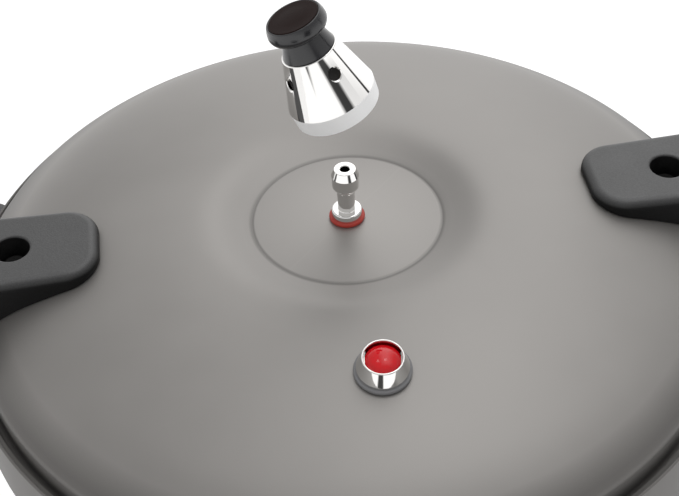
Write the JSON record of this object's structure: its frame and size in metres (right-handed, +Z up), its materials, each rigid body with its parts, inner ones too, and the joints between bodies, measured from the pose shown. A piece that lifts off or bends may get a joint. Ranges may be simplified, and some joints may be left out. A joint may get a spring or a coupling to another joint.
{
  "type": "pressure canner",
  "caption": "Tall stovetop pressure canner: hard anodised pot with bayonet lid, side handles, vent pipe with a rocking weight held above it, and a pop-up pressure indicator.",
  "frame": {"origin": "centre of the pot's flat base, on the surface it stands on", "axes": "+Z up the pot's axis; +X along the right lid handle; -Y through the pressure indicator, the side it is used from"},
  "size_m": [0.428, 0.3428, 0.4217],
  "materials": {
    "anodised": "hard anodised, satin grey",
    "plain_steel": "plain stainless steel",
    "polished_steel": "mirror polished stainless steel",
    "black_moulding": "moulded phenolic, fine matt texture",
    "bare_aluminium": "satin, bare",
    "black_rubber": "smooth moulded rubber",
    "red_silicone": "moulded silicone rubber",
    "grey_rubber": "moulded rubber",
    "brass_core": "turned",
    "knob_black": "satin moulded plastic",
    "dark_brown_gloss": "glossy",
    "red_gloss": "glossy"
  },
  "bodies": {
    "pot": {"pot_body": "anodised", "pot_bracket_right": "plain_steel", "pot_bracket_left": "plain_steel", "pot_handle_right": "black_moulding", "pot_handle_left": "black_moulding", "pot_handle_screws": "plain_steel", "pot_rivets": "plain_steel"},
    "rack": {"canning_rack": "bare_aluminium"},
    "seal": {"sealing_ring": "black_rubber"},
    "lid": {"lid_shell": "anodised", "lid_handle_right": "black_moulding", "lid_handle_left": "black_moulding", "lid_handle_studs": "plain_steel", "lid_handle_nuts": "polished_steel", "lid_handle_washers": "plain_steel", "vent_gasket": "red_silicone", "vent_pipe": "polished_steel", "vent_washer": "plain_steel", "vent_nut": "plain_steel", "vent_filter": "plain_steel", "indicator_gasket": "grey_rubber", "indicator_housing": "polished_steel", "indicator_washer": "plain_steel", "indicator_nut": "plain_steel"},
    "ball": {"regulator_ball": "polished_steel"},
    "regulator": {"regulator_skirt": "polished_steel", "regulator_core": "brass_core", "regulator_collar": "knob_black", "regulator_knob": "knob_black", "regulator_screw": "plain_steel", "regulator_disc": "dark_brown_gloss"},
    "float": {"indicator_float": "red_gloss", "indicator_pin": "plain_steel", "indicator_seal": "red_silicone", "indicator_clip": "plain_steel"}
  },
  "joints": [
    {"name": "rack_lift", "type": "slide", "parent": "pot", "child": "rack", "axis": [0, 0, 1], "range_m": [0, 0.2]},
    {"name": "lid_lift", "type": "slide", "parent": "pot", "child": "seal", "axis": [0, 0, 1], "range_m": [0, 0.15]},
    {"name": "lid_turn", "type": "hinge", "parent": "seal", "child": "lid", "pos_m": [0, 0, 0.3143], "axis": [0, 0, 1], "range_deg": [-22.5, 0]},
    {"name": "regulator_lift", "type": "slide", "parent": "lid", "child": "ball", "axis": [-0.1657, 0, 0.9862], "range_m": [-0.05, 0]},
    {"name": "regulator_tilt", "type": "hinge", "parent": "ball", "child": "regulator", "pos_m": [-0.0083, 0, 0.39374], "axis": [0.1736, 0.9848, 0], "range_deg": [0, 23]},
    {"name": "indicator_rise", "type": "slide", "parent": "lid", "child": "float", "axis": [0, -0.1276, 0.9918], "range_m": [0, 0.006]}
  ]
}
